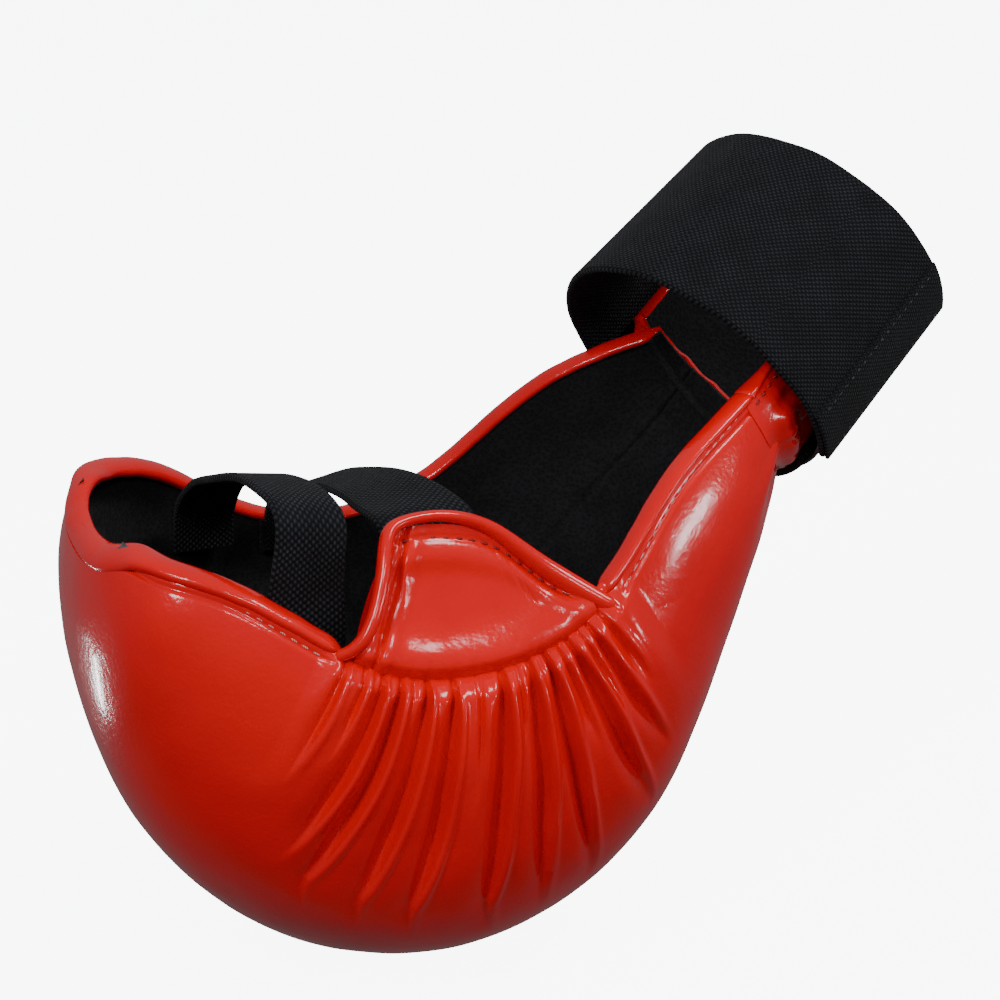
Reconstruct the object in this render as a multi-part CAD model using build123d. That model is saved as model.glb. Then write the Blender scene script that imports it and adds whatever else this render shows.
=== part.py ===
from build123d import *
import math
import os

# Left-hand padded mitt with a curved foam shell, palm flap, elastic straps and wrist band.
# Frame: +X towards the wrist, -Y the thumb side, +Z up out of the open palm.

# ---- driving dimensions (millimetres) ----
SKIN = 1.2            # red synthetic leather cover
LINING = 1.0          # black fabric lining
GAP = 0.3             # clearance between stacked layers
SLIT = 0.5            # clearance across the line where the finger part bends
RIM_HEIGHT = 1.8      # folded edge standing on top of the shell wall
THREAD = 0.4          # radius of a stitch line
ROLL = 1.7            # radius of the rolled edge round the flap
ELASTIC = 1.8         # thickness of the elastic webbing
BAND_WIDTH = 49.0     # wrist band, measured along the forearm
BAND_SIDE = 30.5      # half width of the wrist opening, thumb to little finger
BAND_DEPTH = 31.0     # half depth of the wrist opening, back of hand to palm
BAND_LIFT = 4.4       # how far the free end rises to lie over the fixed end
BAND_CENTRE = (48.3, 5.5, 20.4)
FOREARM = (0.767, 0.305, 0.565)
DEG = math.pi / 180

# Shell cross-sections, wrist end first. Each plane holds the Y direction.
# rim x, rim z, back x, back z, rim half width, side bulge, padding at back, padding at rim
STATIONS = [
    (49.0, 27.0, 63.5, 8.0, 25.0, 3.0, 7.0, 4.4),
    (38.0, 22.0, 57.0, -17.0, 31.0, 7.0, 10.0, 4.6),
    (23.0, 13.0, 46.0, -45.0, 38.0, 10.0, 15.0, 4.8),
    (8.0, -2.0, 31.0, -74.0, 45.0, 13.0, 21.0, 5.0),
    (-10.0, -14.0, 6.0, -95.0, 48.0, 16.0, 27.0, 5.0),
    (-33.0, -16.0, -28.0, -101.0, 48.0, 18.0, 30.0, 5.0),
    (-52.0, -8.0, -60.0, -90.0, 46.0, 17.0, 28.0, 5.0),
    (-66.0, 2.0, -83.5, -66.0, 42.0, 16.0, 24.0, 5.0),
    (-76.0, 7.0, -95.0, -37.0, 37.0, 12.0, 19.0, 4.8),
    (-84.0, 9.0, -97.0, -14.0, 31.0, 8.0, 12.0, 4.6),
    (-88.0, 10.0, -95.0, 3.0, 22.0, 4.0, 6.0, 4.4),
]
FINGER_SPLIT = 5.9    # station number where the finger part bends
SMILE_END = 3.1       # station number where the palm flap stops, wrist side

# Palm flap sections from the finger side to the wrist side: seam point, top point.
FLAP = [
    ((-48.5, -47.0, -8.2), (-40.0, -37.5, 11.5)),
    ((-40.0, -47.6, -11.9), (-35.0, -35.0, 14.0)),
    ((-28.0, -47.9, -14.1), (-24.0, -34.0, 13.5)),
    ((-14.0, -47.8, -12.9), (-13.5, -35.0, 8.0)),
    ((-4.0, -47.3, -9.0), (-5.5, -38.0, 1.5)),
    ((2.5, -46.6, -4.4), (1.0, -43.0, -1.0)),
]
FLAP_THICK = 5.0
FLAP_BULGE = -2.0     # the flap flares outwards towards its seam

# Palm strap: distance across the palm, wrist-side edge x and z, finger-side edge x and z.
STRAP = [
    (-28.4, -16.5, 3.0, -37.0, 4.5),
    (-25.6, -16.3, 9.0, -38.3, 10.0),
    (-16.0, -19.5, 11.5, -39.0, 9.5),
    (-3.0, -23.0, 11.0, -39.0, 8.0),
    (10.0, -26.5, 7.5, -39.0, 5.0),
    (24.0, -29.0, 2.0, -40.5, -0.5),
    (36.0, -30.0, -5.0, -42.0, -6.0),
    (40.2, -30.5, -13.0, -43.0, -13.0),
    (40.6, -30.5, -21.0, -43.0, -21.0),
]

# Finger loop over the four fingers, in the same order of values.
LOOP = [
    (-35.9, -49.0, -14.5, -66.0, -12.5),
    (-35.7, -48.0, -6.0, -65.2, -3.0),
    (-35.5, -48.0, 0.8, -63.8, 3.8),
    (-35.8, -47.9, 8.2, -62.4, 11.2),
    (-35.1, -47.2, 14.1, -61.9, 16.5),
    (-31.0, -47.6, 17.4, -61.9, 19.3),
    (-22.0, -48.6, 17.9, -62.3, 19.7),
    (-11.0, -50.0, 15.9, -63.1, 18.0),
    (1.0, -51.4, 12.4, -64.1, 14.2),
    (13.0, -51.9, 8.0, -64.9, 9.2),
    (24.5, -51.6, 2.6, -65.3, 3.4),
    (33.1, -51.2, -4.2, -65.5, -3.8),
    (36.9, -51.0, -10.4, -65.5, -10.4),
    (37.5, -51.0, -14.5, -65.5, -14.5),
]

PARTS = {}


def keep(name, shape):
    PARTS[name] = shape


# ---- vector helpers ----
def add(a, b, scale=1.0):
    return tuple(p + scale * q for p, q in zip(a, b))


def cross(a, b):
    return (a[1] * b[2] - a[2] * b[1], a[2] * b[0] - a[0] * b[2], a[0] * b[1] - a[1] * b[0])


def unit(a):
    length = math.sqrt(sum(p * p for p in a))
    return tuple(p / length for p in a)


def loft(wires):
    return Solid.make_loft(wires)


def quad(points):
    return Wire.make_polygon([Vector(*p) for p in points], close=True)


# ---- shell sections ----
def frame_of(station):
    """Origin on the rim, unit vector down to the back of the shell, depth of the section."""
    rim_x, rim_z, back_x, back_z = station[:4]
    depth = math.hypot(back_x - rim_x, back_z - rim_z)
    return (rim_x, 0.0, rim_z), ((back_x - rim_x) / depth, 0.0, (back_z - rim_z) / depth), depth


def blended_station(number):
    """Station values between two listed sections."""
    low = min(int(number), len(STATIONS) - 2)
    part = number - low
    return [a + part * (b - a) for a, b in zip(STATIONS[low], STATIONS[low + 1])]


def half_curve(station, at_rim, at_back, side):
    """Control points of one side, pulled inwards by a depth at the rim and at the back."""
    origin, down, depth = frame_of(station)
    width = station[4] - at_rim
    height = depth - at_back
    bulge = station[5] * (1.0 - 0.55 * at_back / station[6])
    flat = [(width, 0.0), (width + bulge, 0.5 * height), (0.62 * (width + bulge), height), (0.0, height)]
    return [add(add(origin, down, h), (0.0, side * y, 0.0)) for y, h in flat]


def layer_wire(station, outer, inner):
    """Closed U-shaped outline between two depths; each depth is (at rim, at back)."""
    out_thumb = half_curve(station, *outer, -1)
    out_little = half_curve(station, *outer, 1)
    in_thumb = half_curve(station, *inner, -1)
    in_little = half_curve(station, *inner, 1)
    return Wire([
        Edge.make_bezier(*out_thumb),
        Edge.make_bezier(*reversed(out_little)),
        Edge.make_line(out_little[0], in_little[0]),
        Edge.make_bezier(*in_little),
        Edge.make_bezier(*reversed(in_thumb)),
        Edge.make_line(in_thumb[0], out_thumb[0]),
    ])


def layer_depths(station, name):
    """Depth of the outside and inside faces of one layer, as (at rim, at back) pairs."""
    back, rim = station[6], station[7]
    if name == "cover":
        return (0.0, 0.0), (SKIN, SKIN)
    if name == "foam":
        return (SKIN + GAP, SKIN + GAP), (rim - LINING - GAP, back - LINING - GAP)
    return (rim - LINING, back - LINING), (rim, back)


def station_plane(number, shift=0.0):
    """Plane of a section; its normal points towards the finger end."""
    origin, down, _ = frame_of(blended_station(number))
    normal = (down[2], 0.0, -down[0])
    return Plane(origin=add(origin, normal, shift), z_dir=normal)


def half_of(shape, number, finger_side):
    """Keep the part of a shape on one side of a section plane, clear of the plane."""
    shift = SLIT / 2 if finger_side else -SLIT / 2
    keep_side = Keep.TOP if finger_side else Keep.BOTTOM
    return shape.split(station_plane(number, shift), keep=keep_side)


def shell_layers():
    for name in ("cover", "foam", "lining"):
        whole = loft([layer_wire(s, *layer_depths(s, name)) for s in STATIONS])
        keep("hand_" + name, half_of(whole, FINGER_SPLIT, False))
        keep("finger_" + name, half_of(whole, FINGER_SPLIT, True))


# ---- rim ----
def rim_strip(side):
    """Folded edge along one side, standing on the top faces of the three layers."""
    wires = []
    for station in STATIONS:
        origin, down, _ = frame_of(station)
        outer, inner = station[4] + 0.2, station[4] - station[7] + 0.2
        corners = []
        for y, h in ((outer, -GAP), (inner, -GAP), (inner + 0.7, -RIM_HEIGHT), (outer - 0.7, -RIM_HEIGHT)):
            corners.append(add(add(origin, down, h), (0.0, side * y, 0.0)))
        wires.append(quad(corners))
    return loft(wires)


def rims():
    thumb, little = rim_strip(-1), rim_strip(1)
    keep("rim_fold_thumb", half_of(thumb, SMILE_END, False))
    keep("smile_seam", half_of(half_of(thumb, SMILE_END, True), FINGER_SPLIT, False))
    keep("finger_rim_thumb", half_of(thumb, FINGER_SPLIT, True))
    keep("rim_fold_little", half_of(little, FINGER_SPLIT, False))
    keep("finger_rim_little", half_of(little, FINGER_SPLIT, True))


def end_fold(station, reach):
    """Strip closing the layered end of the shell, pushed out along the surface."""
    origin, down, _ = frame_of(station)
    along = (down[2], 0.0, -down[0])
    wires = []
    for shift in (math.copysign(GAP, reach), reach):
        wire = layer_wire(station, (0.0, 0.0), (station[7], station[6]))
        wires.append(wire.moved(Location(Vector(*add((0.0, 0.0, 0.0), along, shift)))))
    return loft(wires)


def ends():
    keep("finger_end_fold", end_fold(STATIONS[-1], 1.8))
    keep("wrist_end_fold", end_fold(STATIONS[0], -1.6))


def outer_point(number, side, share, lift):
    """Point on the outside of the cover; share runs from the rim (0) to the back (1)."""
    station = blended_station(number)
    points = half_curve(station, -lift, -lift, side)
    rest = 1.0 - share
    weights = (rest ** 3, 3 * rest ** 2 * share, 3 * rest * share ** 2, share ** 3)
    return tuple(sum(w * p[k] for w, p in zip(weights, points)) for k in range(3))


def thread_line(points):
    """Round thread bead through a list of points."""
    path = Edge.make_spline([Vector(*p) for p in points])
    start = Plane(origin=path @ 0, z_dir=path % 0)
    return sweep(sections=start * Circle(THREAD), path=path)


def rim_stitches(name, side, first, last, lift=1.4):
    steps = max(5, round((last - first) * 1.5))
    numbers = [first + (last - first) * k / steps for k in range(steps + 1)]
    keep(name, thread_line([outer_point(n, side, 0.045, lift) for n in numbers]))


def all_rim_stitches():
    rim_stitches("stitch_rim_thumb", -1, 0.4, SMILE_END - 0.15)
    rim_stitches("stitch_rim_little", 1, 0.3, FINGER_SPLIT - 0.15)
    rim_stitches("stitch_finger_thumb", -1, FINGER_SPLIT + 0.15, 9.2, 1.9)
    rim_stitches("stitch_finger_little", 1, FINGER_SPLIT + 0.15, 9.2, 1.9)


# ---- palm flap ----
def flap_axes(seam, top):
    """Vector up the flap and unit vector out of its visible face."""
    rise = add(top, seam, -1.0)
    return rise, unit(cross((1.0, 0.0, 0.0), rise))


def flap_wire(seam, top, outer, inner, trim):
    """Section of the flap between two depths below its outside face."""
    rise, outward = flap_axes(seam, top)
    bulge = FLAP_BULGE * min(1.0, math.dist(seam, top) / 25.0)
    faces = []
    for depth in (outer, inner):
        level = min(0.7, depth * outward[2] / rise[2])
        low = add(add(seam, rise, trim + level), outward, -depth)
        high = add(add(seam, rise, 1.0 - trim), outward, -depth)
        middles = [add(add(low, rise, k), outward, bulge) for k in (0.3, 0.62)]
        faces.append([low, middles[0], middles[1], high])
    return Wire([
        Edge.make_bezier(*faces[0]),
        Edge.make_line(faces[0][3], faces[1][3]),
        Edge.make_bezier(*reversed(faces[1])),
        Edge.make_line(faces[1][0], faces[0][0]),
    ])


def flap_layer(outer, inner, trim, rows=FLAP):
    return loft([flap_wire(seam, top, outer, inner, trim) for seam, top in rows])


def flap_edge_points():
    """Free edge of the flap: up the finger side, then along the top to the wrist corner."""
    points = []
    seam, top = FLAP[0]
    rise, outward = flap_axes(seam, top)
    clear = ROLL + 0.7
    for share in (0.2, 0.42, 0.7):
        points.append(add(add(add(seam, rise, share), (-clear, 0.0, 0.0)), outward, 0.4 - FLAP_THICK / 2))
    points.append(add(top, (-clear * 0.6, 0.6, clear * 0.6)))
    for seam, top in FLAP[1:]:
        away = unit(add(top, seam, -1.0))
        points.append(add(add(top, away, clear), (0.0, 1.2, -0.5)))
    return points


def strap_root_patch():
    """Fabric patch on the back of the flap where the palm strap is sewn."""
    wires = []
    for seam, top in FLAP[1:4]:
        rise, outward = flap_axes(seam, top)
        corners = []
        for share, depth in ((0.50, 1.9), (0.78, 1.9), (0.78, 2.8), (0.50, 2.8)):
            corners.append(add(add(seam, rise, share), outward, -FLAP_THICK - depth))
        wires.append(quad(corners))
    return loft(wires)


def palm_flap():
    keep("flap_cover", flap_layer(0.0, 1.1, 0.0))
    keep("flap_foam", flap_layer(1.1 + GAP, 3.7, 0.02))
    keep("flap_lining", flap_layer(3.7 + GAP, FLAP_THICK, 0.0, FLAP[:-1]))
    keep("strap_root_patch", strap_root_patch())
    path = Edge.make_spline([Vector(*p) for p in flap_edge_points()])
    start = Plane(origin=path @ 0, z_dir=path % 0)
    keep("flap_rolled_edge", sweep(sections=start * Circle(ROLL), path=path))
    stitches = []
    for seam, top in FLAP[:-1]:
        rise, outward = flap_axes(seam, top)
        share = 1.0 - 4.0 / max(8.0, math.dist(seam, top))
        stitches.append(add(add(seam, rise, share), outward, 1.6 + 0.5 * THREAD))
    keep("stitch_flap", thread_line(stitches))


# ---- elastic straps ----
def webbing_section(low_edge, high_edge, along, thickness):
    """Rectangle across a strap between its two edges."""
    across = add(high_edge, low_edge, -1.0)
    face = unit(cross(across, along))
    half = thickness / 2
    return quad([
        add(low_edge, face, -half), add(high_edge, face, -half),
        add(high_edge, face, half), add(low_edge, face, half),
    ])


def direction_at(points, k):
    before, after = points[max(k - 1, 0)], points[min(k + 1, len(points) - 1)]
    return unit(add(after, before, -1.0))


def strap(table):
    """Webbing whose two edges follow the rows of a table."""
    high = [(x, y, z) for y, x, z, _, _ in table]
    low = [(x, y, z) for y, _, _, x, z in table]
    wires = [webbing_section(low[k], high[k], direction_at(low, k), ELASTIC) for k in range(len(table))]
    return loft(wires)


def straps():
    keep("palm_strap", strap(STRAP))
    keep("palm_strap_anchor", Box(14.0, 0.7, 8.0).moved(Location((-36.8, 42.1, -18.0))))
    keep("finger_loop", strap(LOOP))
    for name, side in (("loop_anchor_thumb", -1), ("loop_anchor_little", 1)):
        keep(name, Box(11.0, 0.6, 6.0).moved(Location((-57.5, side * 40.0, -15.0))))


# ---- wrist band ----
AXIS = unit(FOREARM)
BACKWARD = unit(add((0.70, 0.0, -0.71), AXIS, -sum(p * q for p, q in zip((0.70, 0.0, -0.71), AXIS))))
SIDEWAYS = cross(BACKWARD, AXIS)


def band_point(angle, lift, along):
    """Point round the wrist; angle 0 is the back of the hand, 90 the thumb side."""
    c, s = math.cos(angle * DEG), math.sin(angle * DEG)
    point = add(BAND_CENTRE, AXIS, along)
    point = add(point, BACKWARD, (BAND_DEPTH + lift) * c)
    return add(point, SIDEWAYS, (BAND_SIDE + lift) * s)


def spiral(angle):
    """Outward drift of the free part of the band as it closes over the fixed part."""
    share = min(1.0, max(0.0, (180.0 - angle) / 115.0))
    return BAND_LIFT * share * share * (3.0 - 2.0 * share)


def arc_plate(first, last, lift, thickness, low, high, drift=False):
    """Curved plate round part of the wrist, between two distances along the forearm."""
    steps = max(3, int(abs(last - first) / 12))
    angles = [first + (last - first) * k / steps for k in range(steps + 1)]
    rows = []
    for extra in (0.0, thickness):
        rows.append([band_point(a, lift + extra + (spiral(a) if drift else 0.0), low) for a in angles])
    inner = Edge.make_spline([Vector(*p) for p in rows[0]])
    outer = Edge.make_spline([Vector(*p) for p in reversed(rows[1])])
    face = Face(Wire([
        inner, Edge.make_line(rows[0][-1], rows[1][-1]),
        outer, Edge.make_line(rows[1][0], rows[0][0]),
    ]))
    return Solid.extrude(face, Vector(*AXIS) * (high - low))


def wrist_band():
    keep("wrist_tab", arc_plate(-38.0, 38.0, -3.0, 2.6, 0.5, 40.0))
    keep("wrist_tab_layer", arc_plate(-30.0, 30.0, -4.2, 0.9, 3.0, 36.0))
    keep("stitch_tab", thread_line([band_point(a, -4.6, 38.4) for a in (-30, -15, 0, 15, 30)]))
    keep("band_fixed", arc_plate(-181.0, 36.0, 0.0, ELASTIC, 0.0, BAND_WIDTH))
    keep("loop_patch", arc_plate(-28.0, 34.0, ELASTIC + 0.2, 1.0, 4.0, BAND_WIDTH - 4.0))
    for k in range(len(TAIL_ANGLES) - 1):
        first, last = TAIL_ANGLES[k], TAIL_ANGLES[k + 1]
        keep("band_tail_%d" % (k + 1), arc_plate(first - 0.5, last + 0.5, 0.0, ELASTIC, 0.0, BAND_WIDTH, True))
    keep("hook_patch", arc_plate(32.0, 12.0, BAND_LIFT - 0.2 - 1.0, 1.0, 5.0, BAND_WIDTH - 5.0))
    keep("band_end_hem", arc_plate(21.5, 11.5, BAND_LIFT + ELASTIC + 0.2, 1.0, 0.3, BAND_WIDTH - 0.3))


TAIL_ANGLES = (178.0, 134.0, 90.0, 48.0, 11.0)


os.makedirs("parts", exist_ok=True)
shell_layers()
rims()
ends()
all_rim_stitches()
palm_flap()
straps()
wrist_band()
for part_name, part_shape in PARTS.items():
    export_step(part_shape, "parts/%s.step" % part_name)
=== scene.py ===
import math
import bpy
import numpy as np
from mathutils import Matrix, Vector, noise


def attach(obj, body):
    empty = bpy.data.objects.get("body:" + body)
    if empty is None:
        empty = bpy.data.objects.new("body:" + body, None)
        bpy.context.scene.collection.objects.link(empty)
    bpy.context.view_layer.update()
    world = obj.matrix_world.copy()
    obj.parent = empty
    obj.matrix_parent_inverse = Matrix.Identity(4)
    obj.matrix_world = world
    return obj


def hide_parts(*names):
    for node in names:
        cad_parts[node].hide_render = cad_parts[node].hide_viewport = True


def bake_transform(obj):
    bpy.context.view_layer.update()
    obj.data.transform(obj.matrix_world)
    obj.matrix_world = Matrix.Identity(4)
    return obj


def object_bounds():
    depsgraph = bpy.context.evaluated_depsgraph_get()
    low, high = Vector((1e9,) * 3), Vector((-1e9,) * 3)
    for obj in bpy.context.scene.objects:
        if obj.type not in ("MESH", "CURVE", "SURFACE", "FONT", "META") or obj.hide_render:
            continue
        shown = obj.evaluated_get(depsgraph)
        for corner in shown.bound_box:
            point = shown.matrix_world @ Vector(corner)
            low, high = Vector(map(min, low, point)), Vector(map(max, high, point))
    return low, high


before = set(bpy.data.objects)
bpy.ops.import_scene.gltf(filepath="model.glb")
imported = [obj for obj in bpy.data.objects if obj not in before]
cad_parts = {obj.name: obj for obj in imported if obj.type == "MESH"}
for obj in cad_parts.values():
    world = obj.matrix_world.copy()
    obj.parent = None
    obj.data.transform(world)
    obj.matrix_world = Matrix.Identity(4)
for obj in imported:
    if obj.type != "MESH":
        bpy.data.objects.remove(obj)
CAD_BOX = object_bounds()

# Every length below is in millimetres until make_object turns it into metres.
MM = 0.001
TURN = 2.0 * math.pi
SHARP_ANGLE = math.radians(60.0)
DICE = np.random.RandomState(11)

# ---- shell: sections from the wrist to the finger end, as the solids have them ----
# rim x, rim z, back x, back z, rim half width, side bulge, padding at back, padding at rim
STATIONS = np.array([
    (49.0, 27.0, 63.5, 8.0, 25.0, 3.0, 7.0, 4.4),
    (38.0, 22.0, 57.0, -17.0, 31.0, 7.0, 10.0, 4.6),
    (23.0, 13.0, 46.0, -45.0, 38.0, 10.0, 15.0, 4.8),
    (8.0, -2.0, 31.0, -74.0, 45.0, 13.0, 21.0, 5.0),
    (-10.0, -14.0, 6.0, -95.0, 48.0, 16.0, 27.0, 5.0),
    (-33.0, -16.0, -28.0, -101.0, 48.0, 18.0, 30.0, 5.0),
    (-52.0, -8.0, -60.0, -90.0, 46.0, 17.0, 28.0, 5.0),
    (-66.0, 2.0, -83.5, -66.0, 42.0, 16.0, 24.0, 5.0),
    (-76.0, 7.0, -95.0, -37.0, 37.0, 12.0, 19.0, 4.8),
    (-84.0, 9.0, -97.0, -14.0, 31.0, 8.0, 12.0, 4.6),
    (-88.0, 10.0, -95.0, 3.0, 22.0, 4.0, 6.0, 4.4),
])
LAST = float(len(STATIONS) - 1)
SKIN = 1.2
SMILE_START, SMILE_END = 3.1, 5.95    # stretch of the rim that the palm flap is sewn to

# Gathers below the flap: place on the seam in stations, length and depth in mm, width of the slow side.
PLEATS = [
    (5.93, 30.0, 1.5, 6.0), (5.70, 24.0, 0.9, 4.0), (5.50, 50.0, 2.3, 7.0), (5.33, 62.0, 2.5, 6.0),
    (5.08, 66.0, 2.6, 8.0), (4.83, 70.0, 2.7, 8.0), (4.62, 32.0, 0.9, 3.5), (4.40, 74.0, 2.8, 8.5),
    (4.27, 22.0, 0.8, 3.0), (4.15, 72.0, 2.6, 7.0), (4.00, 68.0, 2.7, 5.0), (3.87, 28.0, 1.1, 3.0),
    (3.75, 58.0, 2.5, 6.0), (3.64, 24.0, 1.0, 3.0), (3.53, 42.0, 2.0, 5.0), (3.36, 22.0, 1.1, 5.0),
]
# How the gathers fan out: place on the seam, and the place 45 mm below it.
FAN = [
    (0.0, 0.0), (2.3, 2.05), (3.36, 2.86), (3.53, 3.02), (3.75, 3.36), (4.0, 3.93),
    (4.15, 4.30), (4.40, 4.69), (4.83, 5.24), (5.08, 5.62), (5.33, 6.03), (5.50, 6.30),
    (5.93, 6.80), (7.2, 7.75), (8.6, 8.75), (10.0, 10.0),
]

# ---- palm flap: seam point and top point, from the finger side to the wrist side ----
FLAP = np.array([
    (-50.2, -46.7, -10.2, -38.4, -36.4, 10.8),
    (-40.0, -48.0, -14.4, -33.5, -35.0, 12.0),
    (-28.0, -48.3, -16.2, -24.0, -34.6, 10.8),
    (-15.0, -48.2, -15.5, -14.5, -35.0, 6.8),
    (-5.0, -47.8, -12.6, -6.5, -38.2, -0.4),
    (3.0, -46.8, -8.4, 1.4, -43.2, -6.0),
])
# Rolled edge of the flap, with its radius.
FLAP_ROLL = [
    (-54.5, -43.6, -9.8, 1.2), (-50.8, -45.8, -8.2, 1.4), (-47.2, -46.2, -4.6, 1.5),
    (-44.0, -44.0, 1.0, 1.5), (-41.8, -41.2, 6.6, 1.5), (-39.8, -37.8, 11.2, 1.5),
    (-36.8, -35.6, 13.1, 1.3), (-31.0, -34.5, 13.4, 1.2), (-24.0, -34.0, 12.2, 1.3),
    (-16.0, -34.2, 8.4, 1.6), (-8.4, -36.6, 1.9, 2.0), (-0.4, -41.0, -4.2, 2.2),
    (5.2, -45.0, -7.6, 1.9), (8.4, -46.6, -9.0, 1.2),
]

# ---- elastic: distance across the palm, wrist-side edge x and z, finger-side edge x and z ----
STRAP = np.array([
    (-30.5, -17.0, -4.0, -36.5, -3.0),
    (-28.4, -16.5, 3.0, -37.0, 4.5),
    (-25.6, -16.3, 9.0, -38.3, 10.0),
    (-16.0, -19.5, 11.5, -39.0, 9.5),
    (-3.0, -23.0, 11.0, -39.0, 8.0),
    (10.0, -26.5, 7.5, -39.0, 5.0),
    (24.0, -29.0, 2.0, -40.5, -0.5),
    (36.0, -30.0, -5.0, -42.0, -6.0),
    (40.2, -30.5, -13.0, -43.0, -13.0),
    (40.9, -30.5, -21.0, -43.0, -21.0),
])
LOOP = np.array([
    (-35.9, -49.0, -14.5, -66.0, -12.5),
    (-35.7, -48.0, -6.0, -65.2, -3.0),
    (-35.5, -48.0, 0.8, -63.8, 3.8),
    (-35.8, -47.9, 8.2, -62.4, 11.2),
    (-35.1, -47.2, 14.1, -61.9, 16.5),
    (-31.0, -47.6, 17.4, -61.9, 19.3),
    (-22.0, -48.6, 17.9, -62.3, 19.7),
    (-11.0, -50.0, 15.9, -63.1, 18.0),
    (1.0, -51.4, 12.4, -64.1, 14.2),
    (13.0, -51.9, 8.0, -64.9, 9.2),
    (24.5, -51.6, 2.6, -65.3, 3.4),
    (33.1, -51.2, -4.2, -65.5, -3.8),
    (36.9, -51.0, -10.4, -65.5, -10.4),
    (38.1, -51.0, -17.0, -65.5, -17.0),
])
ELASTIC = 1.9

# ---- wrist band ----
BAND_WIDTH = 49.0
BAND_SIDE, BAND_DEPTH = 30.5, 31.0
BAND_LIFT = 4.4
BAND_CENTRE = np.array((48.3, 5.5, 20.4))
FOREARM = (0.767, 0.305, 0.565)
FLARE = 4.6
HEM_ANGLES = (75.0, 51.0)
TAIL_END = 51.3


# ---- small mathematics ----
def natural_spline(table, at):
    """Smooth values through the rows of a table; row numbers are whole numbers of at."""
    table = np.asarray(table, float)
    count = len(table)
    system = np.eye(count)
    for row in range(1, count - 1):
        system[row, row - 1:row + 2] = (1.0, 4.0, 1.0)
    change = np.zeros_like(table)
    change[1:-1] = 6.0 * (table[2:] - 2.0 * table[1:-1] + table[:-2])
    bend = np.linalg.solve(system, change)
    at = np.asarray(at, float)
    low = np.clip(np.floor(at).astype(int), 0, count - 2)
    t = (at - low)[..., None]
    r = 1.0 - t
    straight = r * table[low] + t * table[low + 1]
    return straight + ((r ** 3 - r) * bend[low] + (t ** 3 - t) * bend[low + 1]) / 6.0


def smooth(low, high, x):
    t = np.clip((x - low) / (high - low), 0.0, 1.0)
    return t * t * (3.0 - 2.0 * t)


def bell(x, width):
    return np.exp(-(x / width) ** 2)


def unit(v):
    v = np.asarray(v, float)
    return v / np.maximum(np.linalg.norm(v, axis=-1, keepdims=True), 1e-9)


def resample(points, step):
    """Evenly spaced points on a smooth curve through the given ones, and their tangents."""
    points = np.asarray(points, float)
    dense = natural_spline(points, np.linspace(0, len(points) - 1, 40 * len(points)))
    travelled = np.r_[0.0, np.cumsum(np.linalg.norm(np.diff(dense, axis=0), axis=1))]
    count = max(2, int(round(travelled[-1] / step)) + 1)
    marks = np.linspace(0.0, travelled[-1], count)
    even = np.stack([np.interp(marks, travelled, dense[:, k]) for k in range(points.shape[1])], -1)
    return even, unit(np.gradient(even, axis=0)[:, :3])


def ripple(points, size, seed):
    """Smooth noise from -1 to 1 at each point; size is the length of one wave."""
    offset = Vector((seed * 7.3, seed * 3.1, seed * 5.7))
    flat = points.reshape(-1, 3) / size
    values = [noise.noise(Vector(p) + offset) for p in flat]
    return np.array(values).reshape(points.shape[:-1])


def grid_normals(points):
    return unit(np.cross(np.gradient(points, axis=0), np.gradient(points, axis=1)))


# ---- meshes ----
def grid_faces(rows, columns, first=0, flip=False, around=False):
    """Quads of a grid of vertices; around joins the last column to the first."""
    reach = columns if around else columns - 1
    r, c = np.meshgrid(np.arange(rows - 1), np.arange(reach), indexing="ij")
    following = (c + 1) % columns
    quads = [r * columns + c, r * columns + following, (r + 1) * columns + following, (r + 1) * columns + c]
    quads = np.stack(quads, -1).reshape(-1, 4) + first
    return quads[:, ::-1] if flip else quads


def make_object(name, points, faces, material, uv=None):
    """Mesh object in metres from points in millimetres; uv is in millimetres too."""
    mesh = bpy.data.meshes.new(name)
    mesh.from_pydata((np.asarray(points) * MM).tolist(), [], [list(map(int, f)) for f in faces])
    if uv is not None:
        corners = np.zeros(len(mesh.loops), int)
        mesh.loops.foreach_get("vertex_index", corners)
        layer = mesh.uv_layers.new(name="cloth")
        layer.data.foreach_set("uv", (np.asarray(uv)[corners] * MM).ravel())
    mesh.polygons.foreach_set("use_smooth", np.ones(len(mesh.polygons), bool))
    mesh.materials.append(material)
    mesh.update()
    piece = bpy.data.objects.new(name, mesh)
    bpy.context.scene.collection.objects.link(piece)
    mesh.set_sharp_from_angle(angle=SHARP_ANGLE)
    return piece


def border(rows, columns):
    """Vertex numbers round the edge of a grid, in order."""
    top = list(range(columns))
    right = [r * columns + columns - 1 for r in range(1, rows)]
    bottom = [(rows - 1) * columns + c for c in range(columns - 2, -1, -1)]
    left = [r * columns for r in range(rows - 2, 0, -1)]
    return np.array(top + right + bottom + left)


def layer_object(name, outer, inner, material, uv=None):
    """Closed sheet between two grids of the same size."""
    rows, columns = outer.shape[:2]
    count = rows * columns
    points = np.concatenate([outer.reshape(-1, 3), inner.reshape(-1, 3)])
    edge = border(rows, columns)
    following = np.roll(edge, -1)
    rim = np.stack([edge, edge + count, following + count, following], -1)
    faces = np.concatenate([grid_faces(rows, columns), grid_faces(rows, columns, count, True), rim])
    if uv is not None:
        uv = np.concatenate([uv.reshape(-1, 2)] * 2)
    return make_object(name, points, faces, material, uv)


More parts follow.
